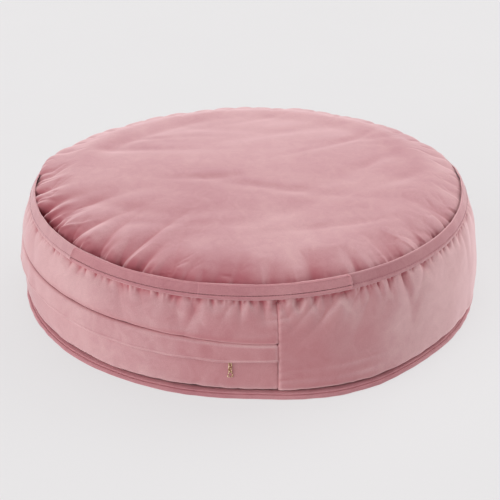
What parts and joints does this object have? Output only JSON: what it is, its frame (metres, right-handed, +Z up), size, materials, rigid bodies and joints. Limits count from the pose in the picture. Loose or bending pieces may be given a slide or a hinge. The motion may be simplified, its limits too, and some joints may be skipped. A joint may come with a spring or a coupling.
{
  "type": "floor cushion",
  "caption": "Round boxed floor cushion in velvet, with flat welts round both seams, a carry handle along the rim and a covered zip with a chain pull.",
  "frame": {"origin": "on the floor, under the middle of the cushion", "axes": "+Z up through the crown; the front, where the handle and the zip pull are, faces -Y; +X is to the right seen from the front"},
  "size_m": [0.6844, 0.6844, 0.185],
  "materials": {
    "velvet": "matte",
    "zip_tape": "matte",
    "zip_coil": "satin",
    "gold_metal": "polished",
    "inner_case_cloth": "matte",
    "fibre": "matte"
  },
  "bodies": {
    "cushion": {"top_panel": "velvet", "bottom_panel": "velvet", "side_band_plain": "velvet", "side_band_above_zip": "velvet", "side_band_below_zip": "velvet", "zip_flap": "velvet", "top_welt": "velvet", "base_welt": "velvet", "handle_tab_left": "velvet", "handle_tab_right": "velvet", "zip_tape_upper": "zip_tape", "zip_tape_lower": "zip_tape", "zip_coil_upper": "zip_coil", "zip_coil_lower": "zip_coil", "zip_top_stop": "zip_coil", "zip_bottom_stop": "zip_coil", "inner_case_top": "inner_case_cloth", "inner_case_side": "inner_case_cloth", "inner_case_bottom": "inner_case_cloth", "fibre_fill": "fibre"},
    "handle": {"carry_handle": "velvet"},
    "slider": {"zip_slider": "gold_metal", "slider_bridge": "gold_metal", "pull_loop": "gold_metal"},
    "link_1": {"chain_link_1": "gold_metal"},
    "link_2": {"chain_link_2": "gold_metal"},
    "link_3": {"chain_link_3": "gold_metal"},
    "ring": {"pull_ring": "gold_metal"}
  },
  "joints": [
    {"name": "handle_lift", "type": "hinge", "parent": "cushion", "child": "handle", "pos_m": [-0.0544, -0.2674, 0.16142], "axis": [-0.9799, 0.1994, 0], "range_deg": [0, 100]},
    {"name": "zip_travel", "type": "hinge", "parent": "cushion", "child": "slider", "pos_m": [0, 0, 0.071], "axis": [0, 0, -1], "range_deg": [-6, 163]},
    {"name": "link_1_swing", "type": "hinge", "parent": "slider", "child": "link_1", "pos_m": [-0.02437, -0.34003, 0.05685], "axis": [-0.9974, 0.0715, 0], "range_deg": [0, 35]},
    {"name": "link_2_swing", "type": "hinge", "parent": "link_1", "child": "link_2", "pos_m": [-0.02437, -0.34003, 0.05215], "axis": [-0.9974, 0.0715, 0], "range_deg": [0, 40]},
    {"name": "link_3_swing", "type": "hinge", "parent": "link_2", "child": "link_3", "pos_m": [-0.02437, -0.34003, 0.04745], "axis": [-0.9974, 0.0715, 0], "range_deg": [0, 40]},
    {"name": "ring_swing", "type": "hinge", "parent": "link_3", "child": "ring", "pos_m": [-0.02437, -0.34003, 0.04275], "axis": [-0.9974, 0.0715, 0], "range_deg": [0, 40]}
  ]
}
